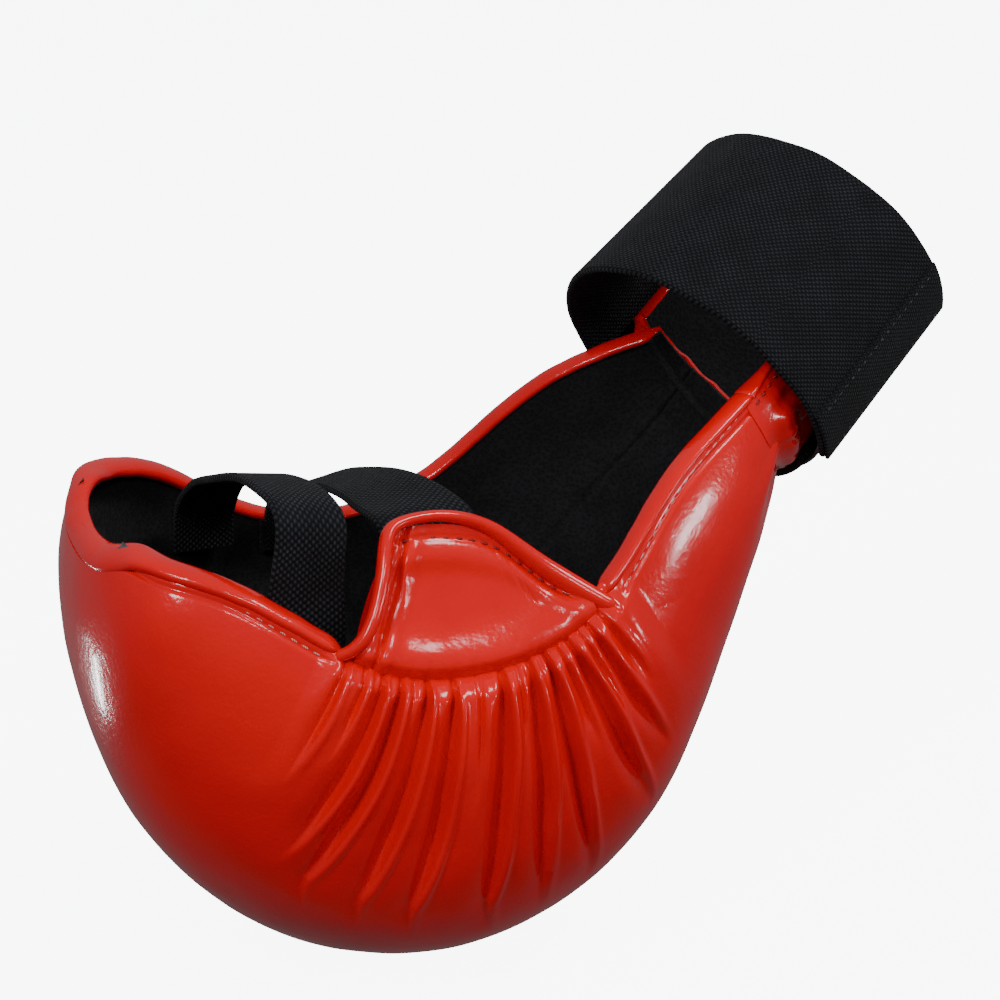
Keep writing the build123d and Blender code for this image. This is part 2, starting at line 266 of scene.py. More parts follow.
def ribbon_profile(half, thick, steps):
    """Cross-section of webbing with rounded edges: across (-half to half) and height."""
    edge = [(math.cos(a), math.sin(a)) for a in np.linspace(-math.pi / 2, math.pi / 2, 7)]
    flat = np.linspace(-1.0, 1.0, steps)[1:-1] * (half - thick / 2)
    ring = [(half - thick / 2 + c * thick / 2, s * thick / 2) for c, s in edge]
    ring += [(x, thick / 2) for x in flat[::-1]]
    ring += [(-half + thick / 2 - c * thick / 2, -s * thick / 2) for c, s in edge]
    ring += [(x, -thick / 2) for x in flat]
    return np.array(ring)


def ribbon(name, low, high, face, material, thick=ELASTIC, steps=14, start=0.0, wave=0.0):
    """Webbing between two edge lines; face is the direction of its upper side."""
    middle, across = (low + high) / 2.0, unit(high - low)
    half = np.linalg.norm(high - low, axis=1) / 2.0
    travelled = start + np.r_[0.0, np.cumsum(np.linalg.norm(np.diff(middle, axis=0), axis=1))]
    ring = ribbon_profile(1.0, 1.0, steps)
    profile = ribbon_profile(float(half.mean()), thick, steps)
    points, uv = [], []
    for k in range(len(middle)):
        widen = half[k] / half.mean() + wave * 0.012 * math.sin(travelled[k] / 3.1)
        lift = wave * 0.12 * math.sin(travelled[k] / 4.3 + 1.0)
        for x, z in profile:
            points.append(middle[k] + across[k] * x * widen + face[k] * (z + lift))
            uv.append((travelled[k], x + half.mean()))
    columns = len(ring)
    faces = [list(f) for f in grid_faces(len(middle), columns, around=True)]
    faces.append(list(range(columns)))
    faces.append([(len(middle) - 1) * columns + c for c in range(columns)][::-1])
    return make_object(name, np.array(points), faces, material, np.array(uv))


def tube(name, path, out, half_out, half_up, material, sides=18, taper=0.0, size=1.0):
    """Oval roll along a path; out is the direction of its first half axis."""
    tangent = unit(np.gradient(path, axis=0))
    out = unit(out - np.sum(out * tangent, -1, keepdims=True) * tangent)
    up = np.cross(tangent, out)
    angles = np.arange(sides) * TURN / sides
    travelled = np.r_[0.0, np.cumsum(np.linalg.norm(np.diff(path, axis=0), axis=1))]
    room = np.minimum(travelled, travelled[-1] - travelled)
    size = size * np.ones(len(path))
    if taper:
        size = size * np.sqrt(np.clip(room / taper, 0.02, 1.0))
    ring = np.cos(angles)[None, :, None] * out[:, None] * half_out
    ring = ring + np.sin(angles)[None, :, None] * up[:, None] * half_up
    points = path[:, None] + ring * size[:, None, None]
    uv = np.stack(np.broadcast_arrays(travelled[:, None], angles[None, :] * half_up), -1)
    faces = [list(f) for f in grid_faces(len(path), sides, around=True)]
    faces.append(list(range(sides)))
    faces.append([(len(path) - 1) * sides + c for c in range(sides)][::-1])
    return make_object(name, points.reshape(-1, 3), faces, material, uv.reshape(-1, 2))


def stitches(name, path, lift, material, pitch=3.2, length=2.3, radius=0.42):
    """Row of separate threads that dip in and out of the surface; lift points out of it."""
    spots, tangent = resample(np.concatenate([path, lift], 1), pitch)
    away = unit(spots[:, 3:])
    spots = spots[:, :3]
    points, faces = [], []
    rings, sides = 7, 8
    for k in range(1, len(spots) - 1):
        side = np.cross(tangent[k], away[k])
        first = len(points)
        for ring in range(rings):
            t = -1.0 + 2.0 * ring / (rings - 1)
            size = radius * math.sqrt(max(0.03, 1.0 - t ** 4))
            centre = spots[k] + tangent[k] * t * length / 2 - away[k] * radius * 1.2 * t * t
            for a in np.arange(sides) * TURN / sides:
                points.append(centre + (side * math.cos(a) + away[k] * math.sin(a)) * size)
        faces += [list(f) for f in grid_faces(rings, sides, first, around=True)]
        faces.append([first + c for c in range(sides)])
        faces.append([first + (rings - 1) * sides + c for c in range(sides)][::-1])
    return make_object(name, np.array(points), faces, material)


# ---- materials ----
class Nodes:
    """Short way to write a node tree."""

    def __init__(self, name):
        self.material = bpy.data.materials.new(name)
        self.material.use_nodes = True
        self.tree = self.material.node_tree
        self.shader = self.tree.nodes["Principled BSDF"]

    def add(self, kind, links=(), **values):
        node = self.tree.nodes.new("ShaderNode" + kind)
        for key, value in values.items():
            if hasattr(node, key):
                setattr(node, key, value)
            else:
                node.inputs[key].default_value = value
        for socket, source in dict(links).items():
            self.tree.links.new(source, node.inputs[socket])
        return node

    def maths(self, operation, a, b=None):
        node = self.tree.nodes.new("ShaderNodeMath")
        node.operation = operation
        for k, value in enumerate((a, b)):
            if value is None:
                continue
            if isinstance(value, (int, float)):
                node.inputs[k].default_value = value
            else:
                self.tree.links.new(value, node.inputs[k])
        return node.outputs[0]

    def ramp(self, source, low, high, low_colour, high_colour):
        node = self.tree.nodes.new("ShaderNodeValToRGB")
        node.color_ramp.elements[0].position = low
        node.color_ramp.elements[1].position = high
        node.color_ramp.elements[0].color = tuple(low_colour) + (1.0,)
        node.color_ramp.elements[1].color = tuple(high_colour) + (1.0,)
        self.tree.links.new(source, node.inputs[0])
        return node.outputs[0]

    def set(self, **values):
        for key, value in values.items():
            self.shader.inputs[key.replace("_", " ")].default_value = value

    def feed(self, socket, source):
        self.tree.links.new(source, self.shader.inputs[socket])


def noise_map(nodes, place, size_mm, detail=2.0, roughness=0.5):
    waves = 1000.0 / size_mm
    node = nodes.add("TexNoise", {"Vector": place}, Scale=waves, Detail=detail, Roughness=roughness)
    return node.outputs["Fac"]


def red_vinyl(name):
    """Glossy coated leather cloth with a fine orange-peel grain."""
    nodes = Nodes(name)
    place = nodes.add("TexCoord").outputs["Object"]
    tone = noise_map(nodes, place, 28.0, 3.0)
    nodes.feed("Base Color", nodes.ramp(tone, 0.3, 0.7, (0.68, 0.0008, 0.0026), (0.80, 0.0012, 0.0036)))
    peel = noise_map(nodes, place, 1.5, 3.0, 0.6)
    cells = nodes.add("TexVoronoi", {"Vector": place}, Scale=1250.0, feature="SMOOTH_F1")
    dent = noise_map(nodes, place, 9.0, 2.0)
    height = nodes.maths("ADD", peel, nodes.maths("MULTIPLY", cells.outputs["Distance"], 0.35))
    height = nodes.maths("ADD", height, nodes.maths("MULTIPLY", dent, 1.6))
    bump = nodes.add("Bump", {"Height": height}, Strength=0.32, Distance=0.00022)
    nodes.feed("Normal", bump.outputs[0])
    rough = nodes.add("MapRange", {"Value": peel})
    rough.inputs["To Min"].default_value = 0.13
    rough.inputs["To Max"].default_value = 0.22
    nodes.feed("Roughness", rough.outputs[0])
    nodes.set(IOR=1.42, Coat_Weight=0.15, Coat_Roughness=0.06)
    return nodes.material


def webbing(name, pitch, shade=1.0):
    """Woven elastic: staggered raised threads along and across the strap."""
    nodes = Nodes(name)
    cloth = nodes.add("UVMap", uv_map="cloth").outputs[0]
    parts = nodes.add("SeparateXYZ", {"Vector": cloth})
    place = nodes.add("TexCoord").outputs["Object"]
    wobble = nodes.maths("MULTIPLY", noise_map(nodes, place, 3.0), 1.3)
    turns = TURN / (pitch * MM)
    lengthwise = nodes.maths("MULTIPLY", parts.outputs[0], turns)
    crosswise = nodes.maths("MULTIPLY", parts.outputs[1], turns)
    along = nodes.maths("SINE", nodes.maths("ADD", lengthwise, wobble))
    across = nodes.maths("SINE", nodes.maths("ADD", crosswise, wobble))
    dots = nodes.maths("MULTIPLY", along, across)
    ribs = nodes.maths("ABSOLUTE", across)
    height = nodes.maths("ADD", nodes.maths("MULTIPLY", dots, 0.5), nodes.maths("MULTIPLY", ribs, 0.35))
    fuzz = noise_map(nodes, place, 0.35, 2.0)
    height = nodes.maths("ADD", height, nodes.maths("MULTIPLY", fuzz, 0.5))
    uneven = noise_map(nodes, place, 7.0, 3.0)
    light = nodes.maths("MULTIPLY", height, nodes.maths("ADD", uneven, 0.35))
    dark = (0.0008 * shade, 0.0009 * shade, 0.0014 * shade)
    pale = (0.0200 * shade, 0.0230 * shade, 0.0300 * shade)
    nodes.feed("Base Color", nodes.ramp(light, 0.25, 1.0, dark, pale))
    bump = nodes.add("Bump", {"Height": height}, Strength=0.8, Distance=0.0004)
    nodes.feed("Normal", bump.outputs[0])
    nodes.set(Roughness=0.80, Sheen_Weight=0.03, Sheen_Roughness=0.4)
    nodes.shader.inputs["Specular IOR Level"].default_value = 0.18
    return nodes.material


def lining_cloth(name):
    """Thin black knit with a faint rib."""
    nodes = Nodes(name)
    place = nodes.add("TexCoord").outputs["Object"]
    cells = nodes.add("TexVoronoi", {"Vector": place}, Scale=1100.0).outputs["Distance"]
    nap = noise_map(nodes, place, 0.5, 3.0)
    height = nodes.maths("ADD", cells, nodes.maths("MULTIPLY", nap, 0.6))
    tone = noise_map(nodes, place, 14.0, 3.0)
    shade = nodes.maths("MULTIPLY", height, nodes.maths("ADD", tone, 0.4))
    dark, pale = (0.0022, 0.0022, 0.0026), (0.0120, 0.0120, 0.0140)
    nodes.feed("Base Color", nodes.ramp(shade, 0.2, 1.0, dark, pale))
    bump = nodes.add("Bump", {"Height": height}, Strength=0.6, Distance=0.0003)
    nodes.feed("Normal", bump.outputs[0])
    nodes.set(Roughness=0.88, Sheen_Weight=0.05, Sheen_Roughness=0.5)
    nodes.shader.inputs["Specular IOR Level"].default_value = 0.2
    return nodes.material


def thread(name, dark, pale):
    """Twisted sewing thread."""
    nodes = Nodes(name)
    place = nodes.add("TexCoord").outputs["Object"]
    twist = nodes.add("TexWave", {"Vector": place}, Scale=900.0, Distortion=3.0).outputs["Fac"]
    nodes.feed("Base Color", nodes.ramp(twist, 0.2, 0.9, dark, pale))
    bump = nodes.add("Bump", {"Height": twist}, Strength=0.5, Distance=0.0001)
    nodes.feed("Normal", bump.outputs[0])
    nodes.set(Roughness=0.5)
    return nodes.material


def foam_stuff(name):
    """Closed-cell foam."""
    nodes = Nodes(name)
    place = nodes.add("TexCoord").outputs["Object"]
    cells = nodes.add("TexVoronoi", {"Vector": place}, Scale=700.0).outputs["Distance"]
    nodes.feed("Base Color", nodes.ramp(cells, 0.0, 0.8, (0.02, 0.02, 0.022), (0.09, 0.09, 0.10)))
    bump = nodes.add("Bump", {"Height": cells}, Strength=0.7, Distance=0.0004)
    nodes.feed("Normal", bump.outputs[0])
    nodes.set(Roughness=0.85)
    return nodes.material


def pile(name, size_mm, tall):
    """Hook or loop face of the closure."""
    nodes = Nodes(name)
    place = nodes.add("TexCoord").outputs["Object"]
    tufts = nodes.add("TexVoronoi", {"Vector": place}, Scale=1000.0 / size_mm).outputs["Distance"]
    strands = noise_map(nodes, place, size_mm * 0.4, 4.0, 0.7)
    height = nodes.maths("ADD", strands, nodes.maths("MULTIPLY", tufts, 0.8))
    nodes.feed("Base Color", nodes.ramp(height, 0.3, 1.2, (0.004, 0.004, 0.005), (0.035, 0.036, 0.04)))
    bump = nodes.add("Bump", {"Height": height}, Strength=1.0, Distance=tall * MM)
    nodes.feed("Normal", bump.outputs[0])
    nodes.set(Roughness=0.9, Sheen_Weight=0.3)
    return nodes.material


VINYL = red_vinyl("red_vinyl")
BAND_WEAVE = webbing("band_weave", 1.3)
LOOP_WEAVE = webbing("loop_weave", 1.45, 1.25)
CLOTH = lining_cloth("lining_cloth")
PALE_THREAD = thread("pale_thread", (0.42, 0.08, 0.07), (0.85, 0.45, 0.42))
RED_THREAD = thread("red_thread", (0.10, 0.002, 0.002), (0.42, 0.012, 0.010))
BLACK_THREAD = thread("black_thread", (0.004, 0.004, 0.005), (0.022, 0.023, 0.027))
FOAM = foam_stuff("foam_cells")
LOOP_PILE = pile("loop_pile", 0.9, 0.6)
HOOK_PILE = pile("hook_pile", 1.4, 0.8)


# ---- shell ----
def shell_point(station, w, depth=0.0, lift=0.0):
    """Point on a face of the shell; w is -1 at the thumb rim, 0 at the back, 1 at the other rim.

    depth is 0 on the outside and 1 on the inside; lift is a distance outwards.
    """
    station, w = np.broadcast_arrays(np.asarray(station, float), np.asarray(w, float))
    columns = np.moveaxis(natural_spline(STATIONS, station), -1, 0)
    rim_x, rim_z, back_x, back_z, width, bulge, pad_back, pad_rim = columns
    down_x, down_z = back_x - rim_x, back_z - rim_z
    tall = np.hypot(down_x, down_z)
    down_x, down_z = down_x / tall, down_z / tall
    half = width - depth * pad_rim + lift
    high = tall - depth * pad_back + lift
    wide = half + bulge * (1.0 - 0.55 * depth)
    t = 1.0 - np.abs(w)
    r = 1.0 - t
    y = r ** 3 * half + 3 * r * r * t * wide + 3 * r * t * t * 0.62 * wide
    h = 1.5 * r * r * t * high + 3 * r * t * t * high + t ** 3 * high
    return np.stack([rim_x + down_x * h, np.sign(w) * y, rim_z + down_z * h], -1)


def shell_grid(stations, across, depth=0.0):
    return shell_point(stations[:, None], across[None, :], depth)


def outward_normals(points):
    """Unit normals of a grid of the shell, pointing away from the hand."""
    normal = grid_normals(points)
    return -normal if np.mean(normal[:, 0, 1]) > 0 else normal


def distance_below_rim(points):
    """Length along each section from the thumb rim."""
    steps = np.linalg.norm(np.diff(points, axis=1), axis=2)
    return np.concatenate([np.zeros((len(points), 1)), np.cumsum(steps, axis=1)], 1)


def fan_out(rows, below):
    """Station of each row of the skin at a distance below the rim, so that rows follow the gathers."""
    seam, low = np.array(FAN).T
    shift = np.interp(rows, seam, low) - rows
    reach = np.clip(below / 45.0, 0.0, 1.25) ** 0.9 * (1.0 - smooth(58.0, 105.0, below))
    return np.clip(rows[:, None] + shift[:, None] * reach, -0.12, LAST)


def deep_gathers(rows, below, spacing):
    """Grooves with one steep and one slow side, and the raised edge beside each."""
    groove = np.zeros_like(below)
    ridge = np.zeros_like(below)
    for k, (place, length, depth, slow) in enumerate(PLEATS):
        drift = 0.10 * np.sin(below / 9.0 + 2.0 * k) + 0.06 * np.sin(below / 4.1 + 5.0 * k)
        aside = (rows[:, None] - place) * spacing + drift
        spread = 0.22 + 0.78 * smooth(0.0, 18.0, below)
        narrow = 0.5 + 0.5 * spread
        fade = 1.0 - smooth(0.45 * length, length, below)
        here = (0.35 + 0.65 * smooth(0.0, 7.0, below)) * fade
        gentle = np.clip(aside / (slow * spread), 0.0, 1.0)
        slow_side = (1.0 - gentle) ** 2.6 * (1.0 + 0.6 * gentle)
        steep_side = 1.0 - smooth(0.0, 1.0, np.clip(-aside / (1.25 * narrow), 0.0, 1.0))
        fall = np.where(aside > 0.0, slow_side, steep_side)
        groove = np.maximum(groove, 1.25 * depth * here * fall)
        ridge = ridge + 0.38 * depth * here * bell(aside + 1.8 * narrow, 0.95)
    return ridge - groove


def seam_wrinkles(rows, below, spacing):
    """Depth of the short dents just below the seam of the flap."""
    count, span = 19, SMILE_END - SMILE_START - 0.1
    deep = np.zeros_like(below)
    for k in range(count):
        place = SMILE_START + 0.08 + span * (k + 0.8 * DICE.rand()) / count
        length = DICE.uniform(6.0, 17.0)
        width = DICE.uniform(0.55, 1.1) * (0.6 + 0.4 * smooth(0.0, 8.0, below))
        dent = DICE.uniform(0.25, 0.55) * bell((rows[:, None] - place) * spacing, width)
        reach = smooth(0.0, 2.5, below) * (1.0 - smooth(2.0, length, below))
        deep = np.maximum(deep, dent * reach)
    return deep


def pleat_height(rows, points):
    """How far the gathers push the skin in (negative) or out, at each point of a grid."""
    below = distance_below_rim(points)
    spacing = np.linalg.norm(np.gradient(points, axis=0), axis=2) / np.gradient(rows)[:, None]
    after_start = smooth(SMILE_START - 0.25, SMILE_START + 0.1, rows)
    before_end = 1.0 - smooth(SMILE_END - 0.05, SMILE_END + 0.3, rows)
    sewn = (after_start * before_end)[:, None]
    gathers = deep_gathers(rows, below, spacing)
    puff = 2.1 * sewn * smooth(0.0, 5.0, below) * (1.0 - smooth(9.0, 38.0, below))
    tuck = 1.7 * sewn * np.exp(-below / 1.2)
    return gathers + puff - tuck - seam_wrinkles(rows, below, spacing) * sewn


def skin_rows():
    return np.concatenate([
        np.linspace(-0.12, 2.7, 56), np.linspace(2.7, 6.3, 330)[1:], np.linspace(6.3, LAST, 76)[1:],
    ])


def skin_grid():
    """Outside of the cover with its gathers, stitch groove and slight unevenness."""
    rows = skin_rows()
    thumb = 1.0 - np.linspace(0.0, 1.0, 110) ** 1.35 * 0.5
    across = np.concatenate([-thumb, np.linspace(-0.5, 0.0, 50)[1:], np.linspace(0.0, 1.0, 84)[1:]])
    below = distance_below_rim(shell_grid(rows, across))
    little = 1.0 - smooth(-0.02, 0.25, across)[None, :]
    stations = rows[:, None] + (fan_out(rows, below) - rows[:, None]) * little
    points = shell_point(stations, np.broadcast_to(across, stations.shape))
    normal = outward_normals(points)
    below = distance_below_rim(points)
    reach = np.minimum(below, below[:, -1:] - below)
    height = pleat_height(rows, points)
    height = height + 0.35 * ripple(points, 26.0, 1) + 0.12 * ripple(points, 9.0, 2)
    height = height - 0.40 * bell(reach - 2.9, 0.6) * (1.0 - sewn_edge(rows, across))
    height = height + wrist_gathers(rows, across)
    return points, normal, points + normal * height[..., None], rows


def sewn_edge(rows, across):
    """1 where the rim is sewn to the palm flap, 0 elsewhere."""
    here = smooth(SMILE_START - 0.1, SMILE_START, rows) * (1.0 - smooth(SMILE_END, SMILE_END + 0.1, rows))
    return here[:, None] * (across < 0.0)[None, :]


def wrist_gathers(stations, across):
    """Shallow folds running out of the gathered wrist end."""
    s, w = stations[:, None], across[None, :]
    height = np.zeros((len(stations), len(across)))
    for middle, size in ((-0.62, 0.9), (-0.36, 0.6), (-0.14, 0.5), (0.12, 0.6), (0.4, 0.7), (0.66, 0.8)):
        fold = bell(w - middle, 0.045 + 0.03 * s.clip(0.0)) - 0.6 * bell(w - middle - 0.1, 0.06)
        height = height + size * fold * (1.0 - smooth(0.25, 1.5, s))
    return height


def flex(piece):
    """Bake the placement of a piece of the shell into its mesh."""
    rim = shell_point(5.9, -1.0)
    back = shell_point(5.9, 0.0)
    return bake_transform(piece)


def build_skin():
    smooth_points, normal, points, rows = skin_grid()
    below = distance_below_rim(smooth_points)
    uv = np.stack([np.broadcast_to(rows[:, None] * 20.0, below.shape), below], -1)
    skin = layer_object("shell_skin", points, points - normal * SKIN, VINYL, uv)
    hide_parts("hand_cover", "finger_cover")
    flex(skin)


def build_foam():
    rows, columns = np.linspace(0.03, LAST - 0.05, 90), np.linspace(-0.985, 0.985, 90)
    outside = shell_grid(rows, columns)
    inside = shell_grid(rows, columns, 1.0)
    face = outward_normals(outside)
    room = 5.6 * smooth(0.0, 0.25, 1.0 - np.abs(columns))[None, :, None] + 1.6
    wall = np.linalg.norm(outside - inside, axis=2)[..., None]
    top = outside - face * np.minimum(room, 0.3 * wall + 0.6)
    foam = layer_object("shell_foam", top, inside + face * 1.4, FOAM)
    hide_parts("hand_foam", "finger_foam")
    flex(foam)


def build_lining():
    """Fabric on the inside of the wall; its corners at the finger end stay under the rolled edge."""
    rows, columns = np.linspace(0.0, LAST - 0.03, 170), np.linspace(-0.995, 0.995, 150)
    corner = smooth(LAST - 1.2, LAST, rows)[:, None] * smooth(0.90, 1.0, np.abs(columns))[None, :]
    inside = shell_point(rows[:, None] - 0.30 * corner, columns[None, :] * (1.0 - 0.012 * corner), 1.0)
    face = outward_normals(inside)
    w = np.abs(columns)[None, :]
    loose = 0.7 * ripple(inside, 13.0, 5) + 0.3 * ripple(inside, 5.0, 6)
    seam = -0.9 * bell(w - 0.55, 0.012) + 0.5 * bell(w - 0.55, 0.05)
    puckers = 0.35 * np.sin(rows[:, None] * 14.0) * bell(w - 0.55, 0.09)
    height = (loose + seam + puckers) * smooth(0.0, 0.12, 1.0 - w)
    inner = inside - face * height[..., None]
    uv = np.stack(np.broadcast_arrays(rows[:, None] * 20.0, columns[None, :] * 100.0), -1)
    lining = layer_object("shell_lining", inner + face * 0.9, inner, CLOTH, uv)
    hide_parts("hand_lining", "finger_lining")
    flex(lining)


# ---- rim ----
def rim_route(pairs):
    """Middle of the wall's edge and the direction across the wall, at (station, w) pairs."""
    stations = np.array([p[0] for p in pairs])
    w = np.array([p[1] for p in pairs])
    outer, inner = shell_point(stations, w, 0.0), shell_point(stations, w, 1.0)
    middle = (outer + inner) / 2.0
    return middle, unit(outer - inner)


def even_route(middle, out, step, relax=0):
    """Even steps along a route, with the corners eased by averaging."""
    both, _ = resample(np.concatenate([middle, out], 1), step)
    for _ in range(relax):
        both[1:-1] = 0.5 * both[1:-1] + 0.25 * (both[:-2] + both[2:])
    return both[:, :3], unit(both[:, 3:])


RIM_HALF_OUT, RIM_HALF_UP = 2.75, 1.35    # half of the rolled edge across the wall and up it
RIM_RISE = -0.35
END_ROLL = 0.42    # how much thicker the roll is round the finger end


def rim_roll(name, pairs, nodes, relax=6):
    """Folded edge over the top of the wall."""
    middle, out = even_route(*rim_route(pairs), 1.2, relax)
    tangent = unit(np.gradient(middle, axis=0))
    up = np.cross(tangent, out)
    if up[:, 2].mean() < 0:
        up = -up
    crumple = 0.14 * ripple(middle, 5.0, 8)[:, None]
    end = bell(np.linalg.norm(middle - shell_point(LAST, 0.0), axis=1) - 40.0, 32.0)
    roll = tube(name, middle + up * (RIM_RISE + crumple), out, RIM_HALF_OUT, RIM_HALF_UP, VINYL,
                22, taper=3.0, size=1.0 + END_ROLL * end)
    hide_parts(*nodes)
    return roll


def run(first, last, w, count):
    return [(s, w) for s in np.linspace(first, last, count)]


def finger_end_run():
    """Round the finger end from the thumb side to the little-finger side."""
    corner = [(9.55, -1.0), (9.80, -0.985), (9.94, -0.93), (LAST, -0.84)]
    middle = [(LAST, w) for w in np.linspace(-0.7, 0.7, 9)]
    return corner + middle + [(station, -w) for station, w in corner[::-1]]


def build_rim():
    wrist = rim_roll("rim_roll_thumb", run(0.0, SMILE_START + 0.14, -1.0, 12), ["rim_fold_thumb"])
    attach(wrist, "hand_shell")
    around = run(SMILE_END + 0.02, 9.3, -1.0, 12) + finger_end_run() + run(9.3, 0.0, 1.0, 28)
    long_roll = rim_roll("rim_roll_long", around, [
        "rim_fold_little", "finger_rim_thumb", "finger_rim_little", "finger_end_fold"], relax=22)
    flex(long_roll)


def rim_stitches(name, pairs, nodes):
    """Pale stitches in the groove beside the rolled edge."""
    stations = np.array([p[0] for p in pairs])
    side = np.array([p[1] for p in pairs])
    place = shell_point(stations, side * 0.976)
    away = unit(shell_point(stations, side * 0.976, 0.0, 1.0) - place)
    row = stitches(name, place - away * 0.3, away, PALE_THREAD, 2.7, 2.25, 0.2)
    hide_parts(*nodes)
    return row


def build_rim_stitches():
    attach(rim_stitches("stitches_thumb", run(0.25, 3.0, -1.0, 12), ["stitch_rim_thumb"]), "hand_shell")
    little_side = ["stitch_rim_little", "stitch_finger_little"]
    flex(rim_stitches("stitches_little", run(0.25, 9.5, 1.0, 30), little_side))
    flex(rim_stitches("stitches_finger", run(6.05, 9.5, -1.0, 14), ["stitch_finger_thumb"]))


# ---- palm flap ----
def flap_frame(u):
    """Seam point, top point, upward vector and outward unit vector of the flap."""
    values = natural_spline(FLAP, u)
    seam, top = values[..., :3], values[..., 3:]
    rise = top - seam
    outward = unit(np.cross(np.broadcast_to((1.0, 0.0, 0.0), rise.shape), rise))
    return seam, rise, outward


def flap_outer(u, t):
    """Front of the flap: flares out to a lip at its seam, with a puffed edge below the roll."""
    seam, rise, outward = flap_frame(u)
    height = np.linalg.norm(rise, axis=-1)
    up = height * t
    tall = smooth(4.0, 16.0, height)
    hollow = -0.5 * (height / 30.0) * np.sin(math.pi * np.clip(t, 0.0, 1.0))
    lip = 1.5 * bell(up - 3.4, 4.2) - 0.42 * np.clip(1.9 - up, 0.0, 9.0) ** 1.8
    puff = 0.8 * bell(up - (height - 6.5), 2.6) * tall
    dip = -0.45 * bell(up - (height - 2.7), 0.8) * tall
    return seam + rise * t[..., None] + outward * (hollow + lip + puff + dip)[..., None], outward


def flap_relief(u, t, from_edge):
    """Sewn channel along the side, creases at the corner and wrinkles above the seam."""
    relief = -1.0 * bell(from_edge - 4.4, 0.6)
    relief = relief + 0.6 * bell(from_edge - 2.4, 1.3) + 0.5 * bell(from_edge - 6.6, 1.8)
    relief = relief - 0.45 * bell(u - 0.86 + 0.18 * t, 0.07) * smooth(0.42, 0.75, t)
    relief = relief + 0.35 * bell(u - 0.98 + 0.18 * t, 0.09) * smooth(0.35, 0.7, t)
    for middle, side, size in ((3.30, 0.66, 0.30), (3.48, 0.60, 0.22), (2.95, 0.74, 0.16)):
        slant = (u - middle) + 0.9 * (t - side)
        relief = relief - size * bell(slant, 0.05) * bell(t - side, 0.13)
    count = 17
    for k in range(count):
        place, length = 0.3 + 4.3 * (k + 0.7 * DICE.rand()) / count, DICE.uniform(0.05, 0.16)
        wrinkle = DICE.uniform(0.1, 0.28) * bell(u - place - 0.3 * t, 0.05)
        relief = relief - wrinkle * (1.0 - smooth(0.0, length, t))
    return relief


def build_flap():
    u = np.linspace(0.0, 5.0, 150)[:, None]
    t = np.concatenate([np.linspace(-0.075, 0.22, 26), np.linspace(0.22, 1.0, 50)[1:]])[None, :]
    u, t = np.broadcast_arrays(u, t)
    front, outward = flap_outer(u, t)
    steps = np.linalg.norm(np.diff(front, axis=0), axis=2)
    from_edge = np.concatenate([np.zeros((1, front.shape[1])), np.cumsum(steps, axis=0)])
    relief = flap_relief(u, t, from_edge)
    relief = relief + 0.16 * ripple(front, 10.0, 4) + 0.05 * ripple(front, 3.4, 3)
    front = front + outward * relief[..., None]
    back = front - outward * (4.6 - 1.6 * np.clip(t, 0.0, 1.0))[..., None]
    pad = layer_object("flap_pad", front, back, VINYL, front[..., (0, 2)])
    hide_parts("flap_cover", "flap_foam")
    lift_flap(pad)

    inner = (slice(2, -8), slice(6, -1))
    under, out = back[inner], outward[inner]
    cloth = layer_object("flap_backing", under - out * 0.1, under - out * 0.8, CLOTH,
                         front[inner][..., (0, 2)])
    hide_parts("flap_lining")
    lift_flap(cloth)


def lift_flap(piece):
    """Bake the placement of a piece of the flap into its mesh."""
    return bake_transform(piece)


def build_flap_edge():
    route, _ = resample(FLAP_ROLL, 0.7)
    _, rise, outward = flap_frame(np.linspace(0.0, 5.0, len(route)))
    crumple = 0.12 * ripple(route[:, :3], 7.0, 12)[:, None]
    path = route[:, :3] + outward * (0.5 + crumple)
    roll = tube("flap_roll", path, outward, 1.25, 1.0, VINYL, 22, taper=2.5,
                size=route[:, 3])
    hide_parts("flap_rolled_edge")
    lift_flap(roll)

    u = np.linspace(0.42, 4.7, 30)
    _, rise, _ = flap_frame(u)
    height = np.linalg.norm(rise, axis=-1)
    row, outward = flap_outer(u, 1.0 - 2.7 / height)
    thread_row = stitches("flap_stitches", row, outward, RED_THREAD, 3.0, 2.1, 0.3)
    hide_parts("stitch_flap")
    lift_flap(thread_row)

    t = np.linspace(0.2, 0.9, 14)
    side, out = flap_outer(np.full_like(t, 0.36) - 0.05 * t, t)
    side_row = stitches("flap_side_stitches", side - out * 0.55, out, RED_THREAD,
                        3.0, 2.1, 0.3)
    lift_flap(side_row)

    seam = shell_point(np.linspace(SMILE_START, SMILE_END, 30), -1.0)
    welt = resample(seam, 1.0)[0] + np.array((0.0, 2.0, 0.0))
    line = tube("smile_welt", welt, np.broadcast_to((0.0, -1.0, 0.0), welt.shape), 1.2, 1.5, VINYL,
                12, taper=1.0)
    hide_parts("smile_seam")
    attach(line, "hand_shell")


# ---- straps ----
def edge_lines(table):
    """Edges of a strap and the direction of its upper face."""
    rows = natural_spline(table, np.arange(0.0, len(table) - 1 + 1e-6, 0.1))
    high = np.stack([rows[:, 1], rows[:, 0], rows[:, 2]], -1)
    low = np.stack([rows[:, 3], rows[:, 0], rows[:, 4]], -1)
    tangent = unit(np.gradient((low + high) / 2.0, axis=0))
    return low, high, unit(np.cross(unit(high - low), tangent))


def build_palm_strap():
    low, high, face = edge_lines(STRAP)
    strap = ribbon("palm_webbing", low, high, face, BAND_WEAVE, steps=20, wave=1.0)
    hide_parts("palm_strap")
    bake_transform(strap)


def build_finger_loop():
    low, high, face = edge_lines(LOOP)
    loop = ribbon("finger_webbing", low, high, face, LOOP_WEAVE, steps=18, wave=1.0)
    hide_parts("finger_loop")
    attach(loop, "finger_loop_web")


